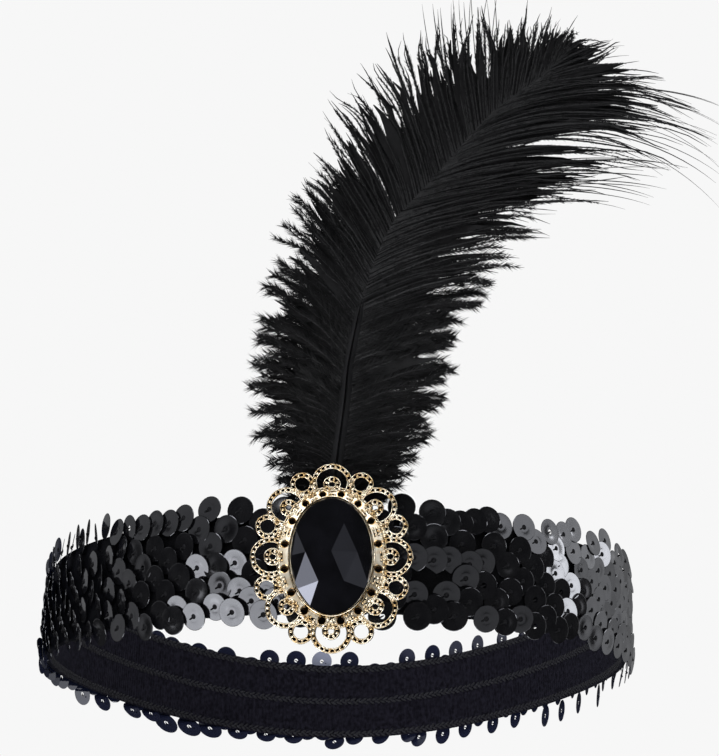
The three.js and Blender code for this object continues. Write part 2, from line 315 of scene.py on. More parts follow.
def add_piece(name, shape, material, slot, smooth_below=None, replaced=()):
    """A named piece of the headband, from a shape in millimetres, smooth where its faces meet at less
    than an angle in degrees."""
    points, faces = shape
    mesh = make_mesh(name, points * MM, faces, material)
    turn_outward(mesh)
    if smooth_below:
        mesh.shade_smooth()
        mesh.set_sharp_from_angle(angle=radians(smooth_below))
    else:
        mesh.shade_flat()
    made = put_in_scene(name, mesh)
    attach(made, "root")
    if replaced:
        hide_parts(*replaced)
    print(f"{name}: {len(faces)} triangles")
    return made


def add_on_front(name, shape, *rest):
    """A piece whose points are given in the brooch's own frame."""
    points, faces = shape
    add_piece(name, (on_front(points), faces), *rest)


# Materials
class Look:
    """A Principled material and the nodes that vary it."""

    def __init__(self, name, **sockets):
        self.material = bpy.data.materials.new(name)
        self.material.use_nodes = True
        self.tree = self.material.node_tree
        self.set(**sockets)

    def set(self, **sockets):
        """Sets the shader's sockets to plain values or to outputs of nodes."""
        named = {socket.replace("_", " "): value for socket, value in sockets.items()}
        self.fill(self.tree.nodes["Principled BSDF"], named)
        return self.material

    def fill(self, node, values):
        for socket, value in values.items():
            if isinstance(value, bpy.types.NodeSocket):
                self.tree.links.new(value, node.inputs[socket])
            else:
                node.inputs[socket].default_value = value

    def node(self, kind, output, inputs, **settings):
        """One output of a new node."""
        made = self.tree.nodes.new("ShaderNode" + kind)
        for setting, value in settings.items():
            setattr(made, setting, value)
        self.fill(made, inputs)
        return made.outputs[output]

    def noise(self, scale, detail=3.0):
        place = self.node("TexCoord", "Object", {})
        return self.node("TexNoise", "Fac", {"Vector": place, "Scale": scale, "Detail": detail})

    def ramp(self, factor, low, high, start=0.35, end=0.65):
        """Colours from low to high as factor goes from start to end."""
        made = self.node("ValToRGB", "Color", {"Fac": factor})
        stops = made.node.color_ramp.elements
        stops[0].position, stops[0].color = start, (*low, 1)
        stops[1].position, stops[1].color = end, (*high, 1)
        return made

    def spread(self, factor, low, high):
        return self.node("MapRange", "Result", {"Value": factor, "To Min": low, "To Max": high})

    def part(self, value, start, end):
        """How far a value has come from start to end, as a share."""
        return self.node("MapRange", "Result", {"Value": value, "From Min": start, "From Max": end})

    def maths(self, operation, first, second):
        return self.node("Math", "Value", {0: first, 1: second}, operation=operation)

    def facing_in(self):
        """0 on faces that look away from the head and 1 on those that look towards it."""
        pair = {0: self.node("TexCoord", "Object", {}), 1: self.node("TexCoord", "Normal", {})}
        return self.part(self.node("VectorMath", "Value", pair, operation="DOT_PRODUCT"), 0.01, -0.01)

    def blend(self, factor, first, second):
        """From the first colour to the second, each of which is an output or a plain value."""
        ends = [end if isinstance(end, bpy.types.NodeSocket) else (*end, 1) for end in (first, second)]
        return self.node("Mix", 2, {0: factor, 6: ends[0], 7: ends[1]}, data_type="RGBA")

    def bump(self, height, distance, strength=1.0):
        return self.node("Bump", "Normal", {"Height": height, "Distance": distance, "Strength": strength})


def sequin_look(name, low, high, backing):
    """Glossy, with another colour on the back, which is the side of a sequin that faces the head."""
    look = Look(name, IOR=1.74, Specular_Tint=(0.94, 0.95, 1, 1))
    return look.set(
        Base_Color=look.blend(look.facing_in(), look.ramp(look.noise(260.0), low, high), backing),
        Roughness=look.spread(look.noise(900.0, 4.0), 0.08, 0.15),
        Normal=look.bump(look.noise(420.0, 2.0), 0.00001, 0.5),
    )


def knit_look():
    sheen = {"Sheen_Weight": 0.02, "Sheen_Roughness": 0.5, "Sheen_Tint": (0.35, 0.38, 0.6, 1)}
    look = Look("black_knit", Roughness=0.95, IOR=1.15, **sheen)
    inner = look.ramp(look.noise(900.0, 5.0), (0.0012, 0.001, 0.0022), (0.0062, 0.0058, 0.0095))
    return look.set(
        # Faces that look away from the head lie under the sequins and are painted near black: painted shade.
        # Faces towards the head keep the knit's own uneven colour.
        Base_Color=look.blend(look.facing_in(), (0.0006, 0.0006, 0.0007), inner),
        Normal=look.bump(look.noise(2600.0, 3.0), 0.0002, 0.7),
    )


def gilt_look(name, low, high, gloss=(0.1, 0.26)):
    look = Look(name, Metallic=1.0)
    return look.set(
        Base_Color=look.ramp(look.noise(700.0, 4.0), low, high, 0.38, 0.62),
        Roughness=look.spread(look.noise(1500.0, 3.0), *gloss),
        Normal=look.bump(look.noise(2400.0, 2.0), 0.00004, 0.4),
    )


def stone_look():
    look = Look("black_glass", IOR=1.86, Specular_Tint=(0.84, 0.86, 1, 1))
    return look.set(
        Base_Color=look.ramp(look.noise(180.0), (0.001, 0.001, 0.0013), (0.0022, 0.0022, 0.003)),
        Roughness=look.spread(look.noise(500.0), 0.03, 0.08),
    )


def felt_look():
    look = Look("black_felt", Roughness=0.95, Sheen_Weight=0.3, Sheen_Roughness=0.6)
    return look.set(
        Base_Color=look.ramp(look.noise(1200.0, 6.0), (0.004, 0.004, 0.005), (0.016, 0.016, 0.018)),
        Normal=look.bump(look.noise(2000.0, 6.0), 0.0003),
    )


def barb_look(name, low, high, gloss, ior):
    """Barbs, which are rougher near the plume's top and foot, and darker there as painted shade."""
    look = Look(name, IOR=ior)
    height = look.node("SeparateXYZ", "Z", {"Vector": look.node("TexCoord", "Object", {})})
    top, middle, foot = 0.11, 0.075, 0.035
    ends = look.maths("MAXIMUM", look.part(height, middle, top), look.part(height, middle, foot))
    uneven = look.spread(look.noise(600.0), gloss - 0.1, gloss + 0.12)
    return look.set(
        # Towards the top and the foot the colour goes to the low tone: painted shade.
        Base_Color=look.blend(ends, look.ramp(look.noise(90.0, 4.0), low, high, 0.42, 0.68), low),
        Roughness=look.maths("ADD", look.spread(ends, 0.0, 0.25), uneven),
    )


def thread_look(name, low, high, ior):
    look = Look(name, Roughness=0.9, IOR=ior)
    return look.set(Base_Color=look.ramp(look.noise(2000.0, 4.0), low, high))


NAVY = (0.006, 0.0075, 0.018)
BLACK_SEQUIN = sequin_look("black_sequin", (0.002, 0.002, 0.0024), (0.004, 0.004, 0.0045), NAVY)
SMOKY = sequin_look("smoky_sequin", (0.1, 0.11, 0.15), (0.13, 0.14, 0.18), (0.15, 0.16, 0.21))
KNIT = knit_look()
GILT = gilt_look("pale_gilt", (0.6, 0.43, 0.22), (1.0, 0.93, 0.77), (0.06, 0.18))
OLD_GILT = gilt_look("old_gilt", (0.35, 0.2, 0.07), (0.8, 0.56, 0.25))
SATIN_GILT = gilt_look("satin_gilt", (0.88, 0.74, 0.52), (1.0, 0.92, 0.76), (0.34, 0.48))
# Colour of the dark sheets in the brooch's hollows: partly patina, partly painted shade where the hollows
# fall into shadow.
PATINA_AND_PAINTED_SHADE = gilt_look("dark_patina_and_painted_shade", (0.01, 0.006, 0.004), (0.04, 0.025, 0.015))
GLASS = stone_look()
FELT = felt_look()
BARBS = barb_look("black_barb", (0.0025, 0.0025, 0.0027), (0.02, 0.02, 0.0205), 0.46, 1.38)
DOWN = barb_look("black_down", (0.0015, 0.0015, 0.0017), (0.004, 0.004, 0.0042), 0.6, 1.3)
SHAFT = barb_look("black_shaft", (0.0015, 0.0015, 0.0018), (0.005, 0.005, 0.0055), 0.5, 1.3)
THREAD = thread_look("black_thread", (0.002, 0.002, 0.0025), (0.0065, 0.0065, 0.0075), 1.22)
STITCH = thread_look("black_stitch", (0.002, 0.002, 0.003), (0.009, 0.009, 0.012), 1.36)


# Elastic
def elastic_shape():
    """The knitted loop, with upright ribs and three low ridges on its inner face."""
    stations = 4 * round(BAND_LENGTH / RIB_PITCH)
    edge = ELASTIC_WIDTH / 2
    inner = np.linspace(-edge, edge, 25)
    from_ridge = np.min(np.abs(inner[:, None] - np.array(RIDGES)), axis=1)
    crest = np.clip(1 - from_ridge / (RIDGE_WIDTH / 2), 0, 1)
    inner_out = RIDGE_HEIGHT - 0.6 * RIDGE_HEIGHT * crest
    rise = np.concatenate([inner, [edge - 0.2, 0, 0.2 - edge]])
    out = np.concatenate([inner_out, [ELASTIC_FRONT] * 3])
    ribbed = np.concatenate([RIB_DEPTH * (1 - crest), [0] * 3])
    share = np.arange(stations) / stations
    wave = np.array([1, 0.1, -1, 0.1])[np.arange(stations) % 4]
    depth = out[None] + ribbed[None] * wave[:, None] * rng.uniform(0.5, 1.2, (stations, 1))
    return loft(on_band(share[:, None], np.broadcast_to(rise, depth.shape), depth), ring=True)


def stitch_shape():
    """Chain stitch: pairs of slanted loops of thread, one behind the other, along the three ridges."""
    each = round(BAND_LENGTH / STITCH_PITCH)
    shapes = []
    for ridge in RIDGES:
        for leg in (-1, 1):
            share = (np.arange(each) + 0.25 * leg) / each
            rise = ridge + leg * 0.42 + rng.normal(0, 0.06, each)
            _, sideways, upward, outward = band_frame(share)
            slant = radians(28) * leg + rng.normal(0, 0.09, each)
            long_way = sideways * np.cos(slant)[:, None] - upward * np.sin(slant)[:, None]
            short_way = np.cross(outward, long_way)
            wide, thick = rng.uniform(0.36, 0.46, each), rng.uniform(0.28, 0.36, each)
            size = np.stack([np.full(each, STITCH_LENGTH), wide, thick], -1)
            centres = on_band(share, rise, np.full(each, 0.3))
            shapes.append(copies(ball(6, 4), centres, np.stack([long_way, short_way, outward], 1), size))
    return join(shapes)


# Sequins seen one by one along the band's two edges, by row: share of the band and rise
EDGE_SEQUINS = {
    0: [
        (-0.1215, -11.7), (-0.112, -11.9), (-0.0985, -11.7), (-0.0815, -12.5), (-0.0735, -10.2),
        (0.0195, -12.4), (0.0335, -12.1), (0.049, -11.6), (0.0975, -9.7), (0.1145, -10.3),
        (-0.3085, -13.1), (-0.3275, -13.3), (-0.356, -13.2), (-0.374, -12.4), (-0.3845, -14.2),
        (-0.4035, -13.5), (-0.4195, -12.6), (-0.4385, -12), (-0.4565, -11.6), (0.4545, -12.6),
        (0.44, -12.6), (0.425, -11.7), (0.4055, -12.2), (0.388, -12.2), (0.3625, -14.2),
        (0.347, -14.2), (0.3295, -13.6), (0.3065, -13.7),
        (-0.473, -11.1), (-0.4965, -12.7), (0.492, -10.9), (0.477, -10.8), (0.4605, -10.8),
    ],
    3: [
        (-0.0715, 11.2), (-0.0875, 11.2), (-0.1045, 11.6), (-0.1215, 12), (-0.136, 12),
        (-0.148, 12), (-0.165, 12.2), (-0.187, 12.4), (-0.2, 12.4),
        (-0.0375, 12.3), (-0.0515, 13.2), (-0.064, 11.9), (-0.0795, 11.6), (-0.0955, 11.8),
        (-0.1135, 13.8), (-0.13, 13.8), (-0.1415, 13.6), (-0.154, 13), (-0.176, 13.8),
        (0.028, 12.7), (0.041, 11.9), (0.0475, 10), (0.0535, 9.9), (0.0605, 10.9),
        (0.0735, 10.6), (0.087, 11.3), (0.104, 11.6), (0.114, 11.8), (0.122, 13.6),
        (0.152, 13.6), (-0.379, 10.4), (-0.391, 9.8), (-0.4115, 10.3), (-0.4305, 10.9),
        (-0.458, 12.4), (-0.474, 12.9), (-0.489, 13.1), (0.495, 13.2), (0.461, 12.8),
        (0.445, 12.8), (0.4295, 12.8), (0.414, 13), (0.3955, 12.8), (0.3795, 10.2),
    ],
}

# Sequins tipped so that they catch a light: share, rise, lift and pitch
TIPPED_SEQUINS = [
    (-0.056, -0.2, 4, -21.5), (-0.039, 0.2, 4, -22.5), (-0.0365, -6.3, 4, -22), (-0.0645, -9.3, 4, -20.5),
    (-0.0565, -11.3, 4, -20.5), (-0.047, -9.5, 5, -21.5), (-0.0395, -11, 4, -21.5), (-0.0315, -8.7, 4, -22),
    (-0.0265, -11.9, 4, -22), (-0.0215, -9, 5, -22.5), (-0.0255, -6.7, 4, -22.5), (0.0325, 1.2, 13, -23.5),
    (0.041, 0.9, 15, -23.5), (0.0475, 1.2, 14, -23), (0.057, 0.6, 16, -23), (0.063, 1.4, 17, -22.5),
    (0.055, -2.7, 15, -22.5), (0.0325, -7.2, 12, -23), (0.046, -6.9, 14, -22.5), (0.064, -11.5, 15, -21.5),
    (0.082, -10.6, 21.5, -21.5), (0.1095, 3.9, 8.6, -0.7), (0.106, 1.7, 7.3, -0.7),
    (0.1175, -0.4, 11.7, -1.9), (0.1135, -6.8, 10.3, -1.4), (0.1475, 9.7, 21.8, -1.9),
]
LARGE_SEQUINS = [(-0.3845, -14.2), (-0.4035, -13.5), (-0.4195, -12.6)]
LARGE_SIZE = 1.22
SMOKY_SEQUIN = (-0.489, 13.1)


def hanging(place):
    """How far a sequin hangs inward under the band's lower edge at the back, from 0 to 1."""
    share = place[:, 0] % 1
    return ease(share, 0.44, 0.48) * (1 - ease(share, 0.66, 0.69)) * ease(-place[:, 1], 10, 11.5)


def zones(side):
    """How much places on the band belong to its calm right side, its front and its back, from 0 to 1."""
    before_back = 1 - ease(side, 0.24, 0.3)
    calm = ease(side, 0.09, 0.12) * before_back
    return calm, ease(side, -0.11, -0.07) * (1 - calm) * before_back, ease(np.abs(side), 0.26, 0.32)


def spread_out(places, free):
    """Moves the free sequins apart, a little at a time, so that they leave hardly any bare elastic."""
    back = zones(wrapped(places[free, 0]))[2]
    limit = (SEQUIN_ROWS - 1) / 2 * ROW_SPACING + ZIGZAG - BACK_NARROWING * back
    for _ in range(SPREAD_ROUNDS):
        along = wrapped(places[:, None, 0] - places[None, :, 0]) * BAND_LENGTH
        across = places[:, None, 1] - places[None, :, 1]
        apart = np.hypot(along, across) + 1e-6
        push = SPREAD_PUSH * np.clip(SEQUIN_APART - apart, 0, None) / apart
        np.fill_diagonal(push, 0)
        places[free, 0] += (push * along).sum(1)[free] / BAND_LENGTH
        places[free, 1] = np.clip(places[free, 1] + (push * across).sum(1)[free], -limit, limit)


def sequin_places():
    """For each sequin of each row: share of the band, rise, how far its leading edge is lifted and its
    pitch, in degrees, and its size."""
    rows = []
    middle_row = (SEQUIN_ROWS - 1) / 2
    for row in range(SEQUIN_ROWS):
        index = np.arange(SEQUINS_ROUND)
        high = np.where(index % 2 == 0, -1.0, 1.0)
        rise = (row - middle_row) * ROW_SPACING + ZIGZAG * high + rng.normal(0, RISE_NOISE, SEQUINS_ROUND)
        share = (index + 0.4 + rng.normal(0, SHARE_NOISE, SEQUINS_ROUND)) / SEQUINS_ROUND
        side = wrapped(share)
        calm, front, back = zones(side)
        uneven = 1 - SIDE_EVEN * calm - FRONT_EVEN * front - BACK_EVEN * back
        lift = np.interp(side, *zip(*LIFT_ROUND)) + rng.normal(0, LIFT_NOISE, SEQUINS_ROUND) * uneven
        pitch = ROW_HANG[row] * (1 - HANG_LOST * back) + rng.normal(0, PITCH_NOISE, SEQUINS_ROUND) * uneven
        if row == SEQUIN_ROWS - 1:
            pitch += np.interp(side, *zip(*TOP_ROW_TURN))
            lift += np.interp(side, *zip(*TOP_ROW_LIFT))
        rows.append(np.stack([share, rise, lift, pitch, rng.uniform(0.97, 1.03, SEQUINS_ROUND)], -1))
    places = np.concatenate(rows)
    row_of = np.repeat(np.arange(SEQUIN_ROWS), SEQUINS_ROUND)
    free = np.ones(len(places), bool)

    def settle(share, rise, row=None):
        """Puts the nearest sequin that is still free at this place."""
        gap = np.hypot(np.abs(wrapped(places[:, 0] - share)) * BAND_LENGTH, places[:, 1] - rise)
        gap[~free | ((row_of != row) if row is not None else False)] = np.inf
        nearest = gap.argmin()
        free[nearest] = False
        places[nearest, :2] = share, rise
        return nearest

    for share, rise, lift, pitch in TIPPED_SEQUINS:
        places[settle(share, rise), 2:4] = lift, pitch
    for row, edge in EDGE_SEQUINS.items():
        for share, rise in edge:
            placed = settle(share, rise, row)
            if (share, rise) in LARGE_SEQUINS:
                places[placed, 4] = LARGE_SIZE
    spread_out(places, free)
    places[:, 3] -= EDGE_HANG * hanging(places)
    return np.split(places, SEQUIN_ROWS)


def sequin_axes(place):
    share, _, lift, pitch, _ = place.T
    _, sideways, upward, outward = band_frame(share)
    lift, pitch = np.radians(lift)[:, None], np.radians(pitch)[:, None]
    normal = outward * np.cos(lift) - sideways * np.sin(lift)
    along = sideways * np.cos(lift) + outward * np.sin(lift)
    facing = normal * np.cos(pitch) + upward * np.sin(pitch)
    up = upward * np.cos(pitch) - normal * np.sin(pitch)
    return np.stack([along, up, facing], 1)


def sequin_centres(place):
    """Where the sequins' holes are: the upper ones stand out a little further on the viewer's right, and
    those that hang inward lie against the elastic's lower edge."""
    side = wrapped(place[:, 0])
    flared = FLARE * ease(side, 0.1, 0.18) * (1 - ease(side, 0.3, 0.36))
    flared = flared * (0.4 + 0.6 * ease(place[:, 1], -8, 12))
    below = np.clip(-ELASTIC_WIDTH / 2 - place[:, 1], 0, None)
    tucked = hanging(place) * (SEQUIN_OUT - ELASTIC_FRONT + tan(TUCK) * below)
    return on_band(place[:, 0], place[:, 1], SEQUIN_OUT + flared - tucked)


def on_sequins(shape, place, scale=1.0):
    return copies(shape, sequin_centres(place), sequin_axes(place), scale)


def sequin_row_shape(place):
    """Thin, nearly flat discs with a hole, a fine step round it and a bevelled rim."""
    wide, deep = SEQUIN_BEVEL
    front = SEQUIN_CUP + SEQUIN_SHEET
    back = [(SEQUIN_HOLE, 0), (SEQUIN_RADIUS, SEQUIN_CUP)]
    rim = [(SEQUIN_RADIUS, front - deep), (SEQUIN_RADIUS - wide, front)]
    steps = ((SEQUIN_STEP, 0.006), (SEQUIN_STEP - 0.1, 0.016), (SEQUIN_HOLE, 0.006))
    disc = turned([*back, *rim, *((radius, SEQUIN_SHEET + high) for radius, high in steps)], 24)
    return on_sequins(disc, place, place[:, 4])


def knot_shape(places):
    """The knots that fill most of the front sequins' holes."""
    place = np.concatenate(places)
    place = place[(np.abs(wrapped(place[:, 0])) < FRONT_HALF) & (rng.random(len(place)) < KNOTTED)]
    return on_sequins(ball(8, 4), place, KNOT)


def thread_shape(places):
    """A stitch out of each sequin's hole and back over its covered half."""
    step = np.linspace(0, 1, 5)
    arc = np.stack([0.35 - 1.8 * step, 0.1 - 0.8 * step, 0.5 * np.sin(pi * step) ** 0.7 - 0.15], -1)
    one = tube(arc, THREAD_RADIUS * np.array([0.6, 1, 1, 1, 0.6]), 5)
    return on_sequins(one, np.concatenate(places))


# Brooch
BORDER_QUARTER = [
    # turn round the plate in degrees, how far the centre stands beyond its edge in loop radii, large loop
    (0, 0.33, True), (22, 1.42, False), (42, 0.3, True), (64.5, 1.16, False), (90, 0.22, True),
]
RAIL_APART = 0.44
RAIL_RADIUS = 0.17
GRAIN_PITCH = 1.18
GRAIN_RADIUS = 0.35
ROSETTE_INNER = 0.78
ROSETTE_OUTER = 1.82
ROSETTE_SHIFT = 0.45
RIM_INSET = 0.55
SMOOTH_TURNS = [(166, 262), (-16, 14)]
GRAIN_INSETS = (1.15, 1.95)
GRAIN_PARTS = (0.36, 0.5, 0.64)
CROWN_RISE = 1.3
CROWN_EDGE = 0.76


def border_loops():
    """For each loop of the border: its centre, its radius, the way out from the plate and, for a large
    one, its rosette's centre."""
    loops = []
    for turn, stand, large in BORDER_QUARTER:
        radius = LARGE_LOOP if large else SMALL_LOOP
        for each in sorted({turn, 180 - turn, (180 + turn) % 360, (360 - turn) % 360}):
            across, up = cos(radians(each)), sin(radians(each))
            away = unit(np.array([across / PLATE[0], up / PLATE[1]]))
            edge = np.array([across * PLATE[0] / 2, up * PLATE[1] / 2])
            centre = edge + away * stand * radius
            loops.append((centre, radius, away, centre - away * ROSETTE_SHIFT if large else None))
    return loops


def oval(size, turn, out=0, centre=(0, 0)):
    """Points (across, up, out) at turns round an oval."""
    across, up = centre[0] + size[0] / 2 * np.cos(turn), centre[1] + size[1] / 2 * np.sin(turn)
    return np.stack([across, up, np.full(len(turn), out)], -1)


def circle(centre, radius, turn, out=0):
    return oval((2 * radius, 2 * radius), turn, out, centre)


def oval_line(size, grow, count, out):
    """Points spaced evenly round an oval that is larger than another by grow on every side."""
    larger = [length + 2 * grow for length in size]
    fine = np.linspace(0, 2 * pi, 721)
    run = runs(oval(larger, fine))
    return oval(larger, np.interp(np.arange(count) / count * run[-1], run, fine), out)


def wire(line, radius, sides=8, closed=True):
    """A round wire along a line in the brooch's frame."""
    return tube(line, radius, sides, ring=closed, forward=(0, 0, 1))


def beads(centres, radius, spread=0.06):
    """Small grains at places in the brooch's frame."""
    axes = np.broadcast_to(np.eye(3), (len(centres), 3, 3))
    return copies(ball(8, 6), centres, axes, radius * rng.uniform(1 - spread, 1 + spread, len(centres)))


def strip(inner, outer, low, high, closed=True):
    """A flat strip between two lines, from one height to another."""
    corners = []
    for line, out in ((inner, low), (outer, low), (outer, high), (inner, high)):
        corners.append(np.column_stack([line[:, :2], np.full(len(line), out)]))
    return loft(np.stack(corners, 1), ring=closed)


def plate_share(points, inset=0.0):
    """How far points are from the plate's middle, where 1 is an oval at an inset from its edge."""
    return np.hypot(points[:, 0] / (PLATE[0] / 2 - inset), points[:, 1] / (PLATE[1] / 2 - inset))


def free_turns(centre, radius, count, shift=0.0):
    """Turns round a loop at which it lies outside the plate's rim, and whether that is the whole loop."""
    turn = full_turn(count, shift)
    free = plate_share(circle(centre, radius, turn), RIM_INSET) > 1
    if free.all():
        return turn, True
    start = np.flatnonzero(free & ~np.roll(free, 1))[0]
    return np.roll(turn, -start)[: free.sum()], False


def beaded_wire(centre, inner, outer, grains, out, whole=False):
    """Two smooth rails with a row of grains between them, cut off where they meet the plate if not whole."""
    middle = (inner + outer) / 2
    turn, closed = (full_turn(48), True) if whole else free_turns(centre, middle, 64)
    grain_turn = full_turn(grains, 0.5) if whole else free_turns(centre, middle, grains, 0.5)[0]
    rails = [wire(circle(centre, rail, turn, out), RAIL_RADIUS, closed=closed) for rail in (inner, outer)]
    return [*rails, beads(circle(centre, middle, grain_turn, out - 0.04), GRAIN_RADIUS)]


def rim_line(grow, count, out):
    return oval_line(PLATE, grow - RIM_INSET, count, out)


def filigree_shape():
    """The border: a beaded rim round the plate, loops of beaded wire outside it, a beaded rosette in each
    large loop and a few grains at the foot of each small one."""
    out = SETTING_BACK + PLATE_THICKNESS + 0.05
    rim = wire(rim_line(RAIL_APART, 160, out), RAIL_RADIUS)
    shapes = [rim, beads(rim_line(0, 74, out - 0.02), GRAIN_RADIUS)]
    for centre, radius, away, rosette in border_loops():
        grains = round(2 * pi * radius / GRAIN_PITCH)
        shapes += beaded_wire(centre, radius - RAIL_APART, radius + RAIL_APART, grains, out)
        if rosette is not None:
            shapes += beaded_wire(rosette, ROSETTE_INNER, ROSETTE_OUTER, 8, out + 0.12, whole=True)
        else:
            sideways = np.array([-away[1], away[0]])
            foot = [centre - away * (radius + 0.75) + sideways * shift for shift in (-1.3, -0.45, 0.45, 1.3)]
            shapes.append(beads(np.column_stack([foot, np.full(4, out)]), 0.45))
    return join(shapes)


def grain_rows():
    """The rim hole and the inset of each short row of grains on the plate: two rows between each hole and
    the next, but only the outer one where the plate is smooth."""
    rows = []
    for hole in range(RIM_HOLES):
        swung = (360 * (hole + 1) / RIM_HOLES + 90) % 360 - 90
        smooth = any(first < swung < last for first, last in SMOOTH_TURNS)
        rows += [(hole, inset) for inset in GRAIN_INSETS[: 1 if smooth else 2]]
    return rows


def plate_arc(hole, inset, parts):
    """Points between a rim hole and the next, at an inset from the plate's edge."""
    line = oval([size - 2 * inset for size in PLATE], 2 * pi * (hole + 0.5 + np.asarray(parts)) / RIM_HOLES)
    line[:, 2] = plate_front(line)
    return line


def groove(hole, inset):
    """A dark bed for the grains, just proud of the crowned plate: patina and painted shade between the
    grains.
    """
    corners = []
    for apart, out in ((0.24, -0.3), (-0.24, -0.3), (-0.24, 0.03), (0.24, 0.03)):
        corners.append(plate_arc(hole, inset + apart, np.linspace(0.3, 0.7, 7)) + [0, 0, out])
    return loft(np.stack(corners, 1))


def inner_grain_shape():
    """Grains that crowd the plate between the rim holes."""
    points = np.concatenate([plate_arc(hole, inset, GRAIN_PARTS) for hole, inset in grain_rows()])
    points[:, :2] += rng.normal(0, 0.1, (len(points), 2))
    points[:, 2] = plate_front(points) + 0.02
    return beads(points, 0.31, 0.16)


def pit_shape():
    """Dark sheets in the hollows, coloured partly as patina and partly as painted shade: the ground between
    the rails, the floors of the rim holes, the beds of the grains, and a painted shadow line in the bezel's
    step."""
    low, high = SETTING_BACK + 0.1, SETTING_BACK + PLATE_THICKNESS - 0.1
    shapes = [strip(rim_line(-0.1, 120, 0), rim_line(RAIL_APART, 120, 0), low, high + 0.06)]
    # Dark floors in the rim holes: painted shade where the holes look into shadow.
    for at in rim_hole_centres():
        floor = [circle(at, RIM_HOLE_RADIUS + 0.2, full_turn(16), out)[::-1] for out in (low + 0.25, low)]
        shapes.append(loft(floor))
    shapes += [groove(hole, inset) for hole, inset in grain_rows()]
    # A dark strip in the bezel's step: a painted shadow line round the stone.
    step = SETTING_BACK + 0.8 * BEZEL_HEIGHT
    shapes.append(strip(*(oval_line(STONE, grow, 144, 0) for grow in (0.49, 0.6)), step - 0.4, step))
    for centre, radius, _, rosette in border_loops():
        turn, closed = free_turns(centre, radius, 64)
        rails = [circle(centre, radius + apart, turn) for apart in (-RAIL_APART, RAIL_APART)]
        shapes.append(strip(*rails, low, high, closed))
        if rosette is not None:
            rails = [circle(rosette, size, full_turn(40)) for size in (ROSETTE_INNER, ROSETTE_OUTER)]
            shapes.append(strip(*rails, low, high + 0.1))
    return join(shapes)


def rim_hole_centres():
    return oval([size - 2 * RIM_HOLE_INSET for size in PLATE], full_turn(RIM_HOLES, 0.5))[:, :2]


def welded(shape):
    """The same body with points that lie on each other made one."""
    points, faces = shape
    _, first, same = np.unique(np.round(points, 5), axis=0, return_index=True, return_inverse=True)
    return points[first], same.reshape(-1)[faces]


def plate_front(points):
    """Height of the plate's crowned front, which falls from the bezel to the rim."""
    fall = np.clip((plate_share(points) - CROWN_EDGE) / (1 - CROWN_EDGE), 0, 1)
    return SETTING_BACK + PLATE_THICKNESS - 0.25 + CROWN_RISE * (1 - fall**1.25)


def pierced_plate():
    """An oval ring, cut through at the rim holes: one cell for each hole, and the cells joined."""
    inner = np.array(STONE) / 2 - 0.6
    outer = np.array(PLATE) / 2 - 0.2
    arc = np.linspace(-1, 1, 9)
    climb = np.linspace(0, 1, 5)[1:-1]
    edge = [(s, 1) for s in arc] + [(1, r) for r in climb[::-1]]
    edge += [(s, 0) for s in arc[::-1]] + [(-1, r) for r in climb]
    swing, rise = np.array(edge).T
    after = np.roll(rise, -1)
    kept = np.ones((6, len(edge)), bool)
    kept[0] = (rise == after) & np.isin(rise, [0, 1])
    faces = grid_faces(6, len(edge), ring_rows=True)[np.tile(kept.ravel(), 2), ::-1]
    shapes = []
    for hole, at in enumerate(rim_hole_centres()):
        turn = 2 * pi * (hole + 0.5 + swing / 2) / RIM_HOLES
        size = inner + (outer - inner) * rise[:, None]
        border = size * np.stack([np.cos(turn), np.sin(turn)], -1)
        hub = at + unit(border - at) * RIM_HOLE_RADIUS
        between = [border + (hub - border) * share for share in (0.35, 0.7)]
        front = [np.column_stack([line, plate_front(line)]) for line in (border, *between, hub)]
        back = [np.column_stack([line, np.full(len(edge), SETTING_BACK)]) for line in (border, hub)]
        shapes.append((np.concatenate([back[0], *front, back[1]]), faces))
    return welded(join(shapes))


def collar_shape():
    """A fine collar round each rim hole."""
    shapes = []
    for at in rim_hole_centres():
        line = circle(at, RIM_HOLE_RADIUS + 0.06, full_turn(20))
        line[:, 2] = plate_front(line) + 0.01
        shapes.append(wire(line, 0.09, 6))
    return join(shapes)


BEZEL_SECTION = [
    # how far outside the stone's girdle, and height as a share of the bezel's
    (0.15, 0.2), (0.66, 0.2), (0.64, 0.7), (0.5, 0.76), (0.5, 0.88), (0.46, 0.97), (0.36, 1.0), (0.25, 0.97),
    (0.15, 0.86),
]


def bezel_shape():
    """A low collar that steps in to a thin rolled lip round the stone's girdle."""
    rows = [oval_line(STONE, grow, 144, SETTING_BACK + up * BEZEL_HEIGHT) for grow, up in BEZEL_SECTION]
    return loft(np.stack(rows, 1), ring=True)


# Plume: the quill's middle line as shares of the plume's height (up the band, sideways, forward)
QUILL_LINE = [
    (0, -0.004, 0), (0.1, 0.002, 0), (0.202, 0.007, 0.003), (0.331, 0.023, 0.018), (0.419, 0.033, 0.035),
    (0.552, 0.065, 0.07), (0.659, 0.112, 0.105), (0.741, 0.19, 0.135), (0.852, 0.297, 0.18),
    (0.92, 0.397, 0.211), (0.965, 0.442, 0.231),
]

